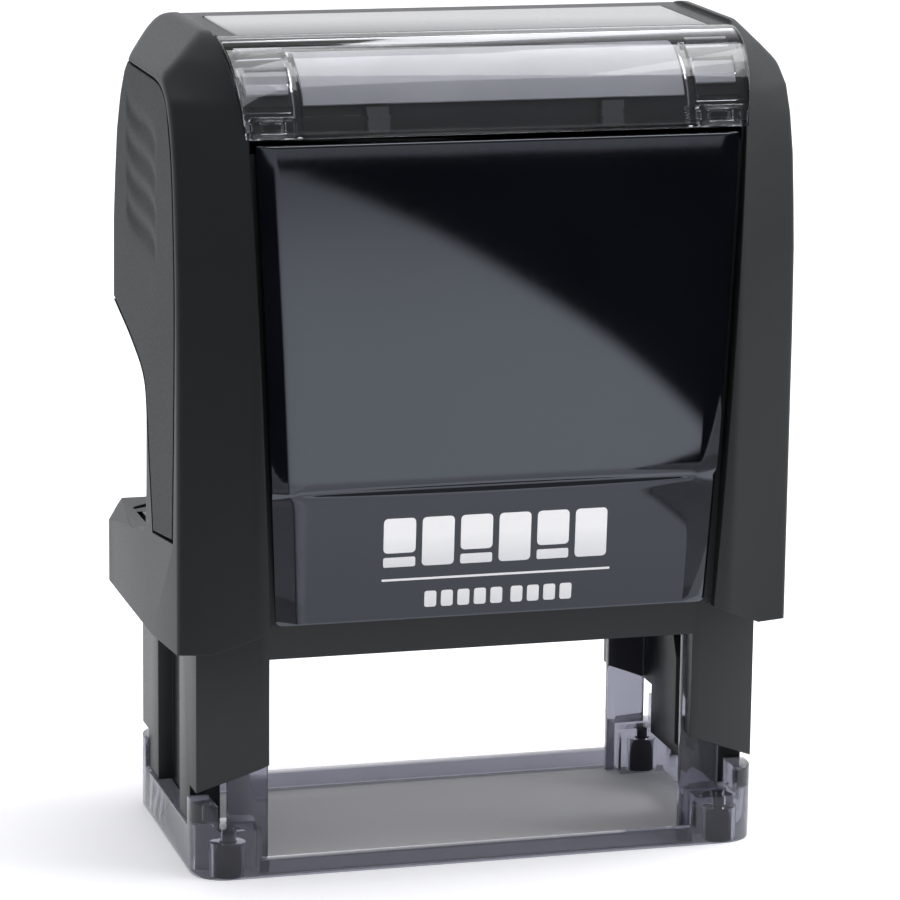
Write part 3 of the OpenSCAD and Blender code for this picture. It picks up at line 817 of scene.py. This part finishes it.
def index_window(material):
    """The clear window: a bent pane with thick clip blocks at both ends."""
    pane = bent_strip("index_window_pane", -WINDOW_HALF, WINDOW_HALF, WINDOW_R, WINDOW_R - 1.0, 0.5, 89, 48)
    flared(pane)
    softened(pane, 0.18, 3, 40)
    extras = []
    for side in (-1, 1):
        a, b = sorted((side * 17.6, side * 18.2))
        c, d = sorted((side * 18.4, side * 22.3))
        extras.append(bent_strip("rib", a, b, WINDOW_R - 0.9, WINDOW_R - 1.75, 2, 66, 20))
        extras.append(bent_strip("tab", c, d, WINDOW_R - 0.9, WINDOW_R - 1.7, 38, 52, 8))
        extras.append(bent_strip("bar", c, d, WINDOW_R - 0.9, WINDOW_R - 1.8, 19, 22, 3))
        ring = bent_strip("clip", c, d, WINDOW_R + 0.0, WINDOW_R - 1.8, 1.5, 15, 8)
        hole = bent_strip("hole", c + 0.9, d - 0.9, WINDOW_R + 0.6, WINDOW_R - 2.2, 5, 11.5, 6)
        cut(ring, hole)
        softened(ring, 0.15, 2, 40)
        extras.append(ring)
        extras.append(bent_strip("head", c, d, WINDOW_R - 0.9, WINDOW_R - 1.5, 67, 72, 4))
    joined(pane, *extras)
    return fitted(smooth(pane, 35), material, "window", "window_clear", "index_window")


def index_card(material, shell_material):
    radius = WINDOW_R - WINDOW_T - 0.3
    card = bent_strip("index_card_sheet", -17.3, 17.3, radius, radius - 0.28, 24, 88, 30)
    fitted(smooth(card, 40), material, "cap", "card", "index_card")
    ears = [bent_strip("ear", *sorted((side * 18.5, side * 22.2)), radius, radius - 0.28, 33, 50, 12)
            for side in (-1, 1)]
    fitted(smooth(joined_loose("card_ears", ears), 40), material, "cap", "card")
    posts = [bent_strip("post", x - 1.0, x + 1.0, radius + 0.15, radius - 0.65, 3, 21, 8)
             for x in (-10.8, 10.6)]
    fitted(smooth(joined_loose("card_stops", posts), 40), shell_material, "cap", "cap_plastic")


def top_plate(material):
    plate = block("top_plate_moulding", (-21.75, WINDOW_C[0] + 0.15, CAP_H - 0.75),
                  (21.75, TOP_Y1 + 0.25, CAP_H - 0.32))
    softened(plate, 0.18, 3, 40)
    return fitted(smooth(plate), material, "cap", "top_satin", "top_plate")


# ---------- geometry nodes: the spring ----------


def node_group(name, inputs):
    """A geometry tree with those inputs: (name, socket type, default)."""
    tree = bpy.data.node_groups.new(name, "GeometryNodeTree")
    sockets = {}
    for label, kind, value in inputs:
        socket = tree.interface.new_socket(label, in_out="INPUT", socket_type=kind)
        if value is not None:
            socket.default_value = value
        sockets[label] = socket.identifier
    tree.interface.new_socket("Geometry", in_out="OUTPUT", socket_type="NodeSocketGeometry")
    return tree, sockets


def grown(name, tree, sockets, values):
    """The tree's result as a plain mesh piece."""
    piece = bpy.data.objects.new(name, bpy.data.meshes.new(name))
    bpy.context.scene.collection.objects.link(piece)
    modifier = piece.modifiers.new("build", "NODES")
    modifier.node_group = tree
    for label, value in values.items():
        modifier[sockets[label]] = value
    return flattened(piece)


def spring_tree():
    """A coil: a spiral of the wire's centre line with a round section swept along it."""
    tree, sockets = node_group("coil", [
        ("Coil radius", "NodeSocketFloat", 0.005), ("Wire radius", "NodeSocketFloat", 0.0005),
        ("Height", "NodeSocketFloat", 0.02), ("Turns", "NodeSocketFloat", 5.0),
        ("Foot", "NodeSocketVector", (0, 0, 0)), ("Material", "NodeSocketMaterial", None)])
    n, link = tree.nodes, tree.links
    given, result = n.new("NodeGroupInput"), n.new("NodeGroupOutput")
    spiral = n.new("GeometryNodeCurveSpiral")
    spiral.inputs["Resolution"].default_value = 40
    link.new(given.outputs["Turns"], spiral.inputs["Rotations"])
    link.new(given.outputs["Coil radius"], spiral.inputs["Start Radius"])
    link.new(given.outputs["Coil radius"], spiral.inputs["End Radius"])
    link.new(given.outputs["Height"], spiral.inputs["Height"])
    section = n.new("GeometryNodeCurvePrimitiveCircle")
    section.inputs["Resolution"].default_value = 14
    link.new(given.outputs["Wire radius"], section.inputs["Radius"])
    sweep = n.new("GeometryNodeCurveToMesh")
    sweep.inputs["Fill Caps"].default_value = True
    link.new(spiral.outputs["Curve"], sweep.inputs["Curve"])
    link.new(section.outputs["Curve"], sweep.inputs["Profile Curve"])
    shift = n.new("GeometryNodeTransform")
    link.new(sweep.outputs["Mesh"], shift.inputs["Geometry"])
    link.new(given.outputs["Foot"], shift.inputs["Translation"])
    real = n.new("GeometryNodeRealizeInstances")
    link.new(shift.outputs["Geometry"], real.inputs["Geometry"])
    paint = n.new("GeometryNodeSetMaterial")
    link.new(real.outputs["Geometry"], paint.inputs["Geometry"])
    link.new(given.outputs["Material"], paint.inputs["Material"])
    link.new(paint.outputs["Geometry"], result.inputs["Geometry"])
    return tree, sockets


def return_spring(material):
    low, high = box_mm("return_spring")
    wire, coil = 0.5, 5.0
    tree, sockets = spring_tree()
    spring = grown("return_spring_coil", tree, sockets,
                   {"Coil radius": coil * MM, "Wire radius": wire * MM,
                    "Height": (high[2] - low[2] - 2 * wire) * MM, "Turns": 5.5,
                    "Foot": [0, 0, (low[2] + wire) * MM], "Material": material})
    smooth(spring)
    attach(spring, "frame")
    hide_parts("return_spring")
    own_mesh(spring)
    return spring


def rubber_foot(end, material):
    """A round-headed rubber plug with a short neck, pressed into a corner of the foot from below."""
    low, high = box_mm("rubber_foot_" + end)
    x, y = (low[0] + high[0]) / 2, (low[1] + high[1]) / 2
    r, base, top = (high[0] - low[0]) / 2, low[2], high[2]
    head = [(r * cos(radians(a)), base + 1.75 + r * sin(radians(a))) for a in range(0, 61, 6)]
    neck = r * 0.42
    profile = [(0, base), (r - 0.15, base), (r, base + 0.15), *head,
               (neck + 0.12, head[-1][1] + 0.12), (neck, head[-1][1] + 0.35),
               (neck, top - 0.1), (neck - 0.1, top), (0, top)]
    plug = turned("rubber_foot_" + end + "_plug", profile, x, y)
    return fitted(smooth(plug, 50), material, "frame", "foot_rubber", "rubber_foot_" + end)


# ---------- studio ----------


def look_from(azimuth, elevation, roll):
    a, e, r = radians(azimuth), radians(elevation), radians(roll)
    back = Vector((sin(a) * cos(e), -cos(a) * cos(e), sin(e)))
    right = Vector((cos(a), sin(a), 0))
    up = back.cross(right)
    return back, right * cos(r) + up * sin(r), up * cos(r) - right * sin(r)


def camera():
    """Long lens, a little to the left of the front and above."""
    back, right, up = look_from(-15.62, 12.85, 0.69)
    target = Vector((0.31, 0.0, 35.57)) * MM
    data = bpy.data.cameras.new("camera")
    data.lens = 174.5
    data.sensor_width = 36.0
    data.clip_start, data.clip_end = 0.02, 20
    eye = bpy.data.objects.new("camera", data)
    turn = Matrix((right, up, back)).transposed().to_4x4()
    eye.matrix_world = Matrix.Translation(target + back * 0.4039) @ turn
    bpy.context.scene.collection.objects.link(eye)
    bpy.context.scene.camera = eye


def soft_box(name, place, aim, width, height, power, colour=(1, 1, 1)):
    data = bpy.data.lights.new(name, "AREA")
    data.shape = "RECTANGLE"
    data.size, data.size_y = width, height
    data.energy = power
    data.color = colour
    light = bpy.data.objects.new(name, data)
    light.location = place
    light.rotation_euler = (Vector(aim) - Vector(place)).to_track_quat("-Z", "Y").to_euler()
    bpy.context.scene.collection.objects.link(light)
    return light


def plain_floor():
    """A pale floor that glows a little to keep shadows soft, and a patch of it under the foot that glows
    less: painted shade where the stamp shades the floor.
    """
    # the second entry is painted shade: the same floor colour with much less glow, laid under the foot
    parts = (("floor", 6000.0, 6000.0, 0.0, 0.34), ("painted shade under the foot", 25.8, 12.8, 0.02, 0.05))
    for name, half_x, half_y, z, glow in parts:
        corners = [(-half_x, -half_y, z), (half_x, -half_y, z), (half_x, half_y, z), (-half_x, half_y, z)]
        floor = new_piece(name.replace(" ", "_"), corners, [(0, 1, 2, 3)])
        material, tree, bsdf = bare_material(name)
        bsdf.inputs["Base Color"].default_value = (0.86, 0.86, 0.88, 1)
        bsdf.inputs["Emission Color"].default_value = (0.96, 0.96, 1.0, 1)
        bsdf.inputs["Emission Strength"].default_value = glow
        bsdf.inputs["Roughness"].default_value = 0.8
        bsdf.inputs["Specular IOR Level"].default_value = 0.1
        floor.data.materials.append(material)


def dark_card(name, rows, covers):
    """A dark card on the floor, seen only as a reflection; each row of points has its own cover."""
    n = len(rows[0])
    verts = [(x, y, 1.0) for row in rows for x, y in row]
    faces = [(k * n + i, k * n + i + 1, (k + 1) * n + i + 1, (k + 1) * n + i)
             for k in range(len(rows) - 1) for i in range(n - 1)]
    card = new_piece(name, verts, faces)
    fade = card.data.attributes.new("cover", "FLOAT", "POINT")
    fade.data.foreach_set("value", [c for c in covers for _ in range(n)])
    material, tree, bsdf = bare_material(name)
    bsdf.inputs["Base Color"].default_value = (0.002, 0.002, 0.003, 1)
    bsdf.inputs["Roughness"].default_value = 1.0
    bsdf.inputs["Specular IOR Level"].default_value = 0.0
    cover = tree.nodes.new("ShaderNodeAttribute")
    cover.attribute_name = "cover"
    tree.links.new(cover.outputs["Fac"], bsdf.inputs["Alpha"])
    card.data.materials.append(material)
    for ray in ("visible_camera", "visible_diffuse", "visible_shadow", "visible_transmission",
                "visible_volume_scatter"):
        setattr(card, ray, False)


def seen_in_panel(x, z):
    """The place on the floor that the front panel mirrors to the camera at that spot."""
    spot = Vector((x, 0.3 - crown(z), z))
    normal = Vector((0, -1, (z - BULGE_Z) / BULGE_R)).normalized()
    ray = (spot - bpy.context.scene.camera.matrix_world.translation / MM).normalized()
    bounce = ray - 2 * ray.dot(normal) * normal
    place = spot - bounce * (z / bounce.z)
    return place.x, place.y


def dark_cards():
    """Cards that shade a corner of the front panel, its rolled left edge and its lower field."""
    edge = flowing([(-27, 66), (-18, 64.3), (-9, 60.5), (0, 55.5), (9, 49.5), (16, 43.5), (19.5, 39.0),
                    (15.6, 37.0), (12.8, 35.3), (15.6, 33.0), (18.2, 30.5), (19.3, 28.0), (19.6, 23.0)])
    soft = [0.5 + 0.03 * max(z - 30, 0) for _, z in edge]
    near = [seen_in_panel(x - w, z) for (x, z), w in zip(edge, soft)]
    far = [seen_in_panel(x + w, z) for (x, z), w in zip(edge, soft)]
    dark_card("right card", [near, far, [(x + 1800, y) for x, y in far]], [0, 1, 1])
    heights = [65, 64, 62, 60, 57, 54, 50, 46, 42, 38, 36, 34, 31, 28, 25, 22, 19]
    flat = [seen_in_panel(-17.5, z) for z in heights]
    leans = ((0, 0), (0.07, 0), (0.13, 0), (0, 900))
    rows = [[(x + lean * y - out, y) for x, y in flat] for lean, out in leans]
    dark_card("left card", rows, [0, 0.2, 1, 1])
    levels = [seen_in_panel(0, z)[1] for z in (36.6, 35.0, 20.0)]
    dark_card("near card", [[(-60, y), (140, y)] for y in levels], [0, 0.3, 0.4])


def studio():
    world = bpy.data.worlds.new("studio")
    world.use_nodes = True
    tree = world.node_tree
    back = tree.nodes["Background"]
    back.inputs["Strength"].default_value = 1.0
    way = tree.nodes.new("ShaderNodeTexCoord")
    split = tree.nodes.new("ShaderNodeSeparateXYZ")
    tree.links.new(way.outputs["Generated"], split.inputs["Vector"])
    lift = tree.nodes.new("ShaderNodeMath")
    lift.operation = "MULTIPLY_ADD"
    lift.inputs[1].default_value = -0.75
    tree.links.new(split.outputs["Z"], lift.inputs[0])
    tree.links.new(split.outputs["Y"], lift.inputs[2])
    place = tree.nodes.new("ShaderNodeMapRange")
    place.inputs["From Min"].default_value = -1.0
    place.inputs["From Max"].default_value = 1.0
    tree.links.new(lift.outputs[0], place.inputs["Value"])
    sky = ramp(tree, place.outputs["Result"], [(0.0, (0.2, 0.2, 0.21)), (0.45, (0.3, 0.3, 0.31)),
                                               (0.7, (1.1, 1.1, 1.13)), (1.0, (1.6, 1.6, 1.63))])
    tree.links.new(sky, back.inputs["Color"])
    scene = bpy.context.scene
    scene.world = world
    scene.view_settings.view_transform = "Standard"
    plain_floor()
    dark_cards()
    soft_box("key", (0.5, -0.1, 0.5), (0, 0, 0.03), 0.5, 0.5, 2.3)
    soft_box("top", (0.15, 0.05, 1.0), (0, 0.1, 0.0), 0.8, 0.9, 8.5)


# ---------- the stamp ----------


def main():
    camera()
    black = grained_plastic("cap plastic", (0.011, 0.012, 0.0125), rough=0.5, grain=0.16,
                            depth=0.008, edge=0.18)
    frame_black = grained_plastic("frame plastic", (0.011, 0.012, 0.0125), rough=0.42, grain=0.18,
                                  depth=0.005, edge=0.15)
    grip_grey = grained_plastic("grip plastic", (0.020, 0.022, 0.023), rough=0.6, grain=0.3,
                                depth=0.035, edge=0.1, specular=0.2, mottle=0.25)
    inner_black = grained_plastic("inner plastic", (0.020, 0.021, 0.023), rough=0.4, grain=0.25,
                                  depth=0.004, edge=0.1)
    satin = grained_plastic("satin plate", (0.014, 0.015, 0.017), rough=0.3, grain=0.12,
                            depth=0.004, specular=0.7, coat=0.7)
    gloss = gloss_plastic("piano gloss", (0.0035, 0.004, 0.006))
    clear = clear_plastic("clear window plastic", (0.93, 0.94, 0.97))
    smoke = clear_plastic("smoke clear plastic", (0.27, 0.275, 0.325), 0.06, 1.3, 0.88)
    rubber = soft_rubber("foot rubber", (0.02, 0.02, 0.022))
    red_rubber = soft_rubber("die rubber", (0.30, 0.035, 0.03), 0.6)
    foam = fibre("cushion foam", (0.68, 0.67, 0.62), 0.25, 0.05)
    felt = fibre("inked felt", (0.012, 0.012, 0.02), 0.15, 0.05, 0.7)
    card = fibre("card", (0.52, 0.525, 0.55), 0.1, 0.006)
    steel = drawn_steel("spring steel")
    stop_grey = grained_plastic("card stops", (0.07, 0.07, 0.075), rough=0.4)
    foil = hot_foil("name foil", (0.74, 0.75, 0.77), (0.97, 0.97, 0.97), 28.9, 34.5)
    fine_foil = hot_foil("rule foil", (0.72, 0.73, 0.75), (0.85, 0.85, 0.86), 24.8, 28.2)

    cap_shell(black)
    front_panel(gloss)
    front_marks(foil, fine_foil)
    back_panel(gloss)
    for side in (-1, 1):
        side_grip(side, grip_grey)
    top_plate(satin)
    index_card(card, stop_grey)
    index_window(clear)

    moulded_copy("inner_frame", frame_black, "frame", "frame_plastic", 0.22)
    moulded_copy("clear_foot", smoke, "frame", "clear_tinted", 0.25, 3)
    for end in ("front_left", "front_right", "back_left", "back_right"):
        rubber_foot(end, rubber)
    return_spring(steel)
    moulded_copy("cartridge_tray", inner_black, "frame", "tray_plastic", 0.2)
    moulded_copy("ink_pad", felt, "frame", "ink_felt", 0.3, 3)
    moulded_copy("bridge", inner_black, "cap", "bridge_plastic", 0.2)
    for side in ("left", "right"):
        moulded_copy(side + "_axle_pin", steel, "cap", "pin_steel", 0.2)
    moulded_copy("platen", inner_black, "platen", "platen_plastic", 0.2)
    moulded_copy("die_cushion", foam, "platen", "cushion_foam", 0.1)
    moulded_copy("rubber_die", red_rubber, "platen", "die_rubber", 0.08)
    moulded_copy("lock_button", grip_grey, "lock", "button_plastic", 0.25, 3)
    studio()


main()
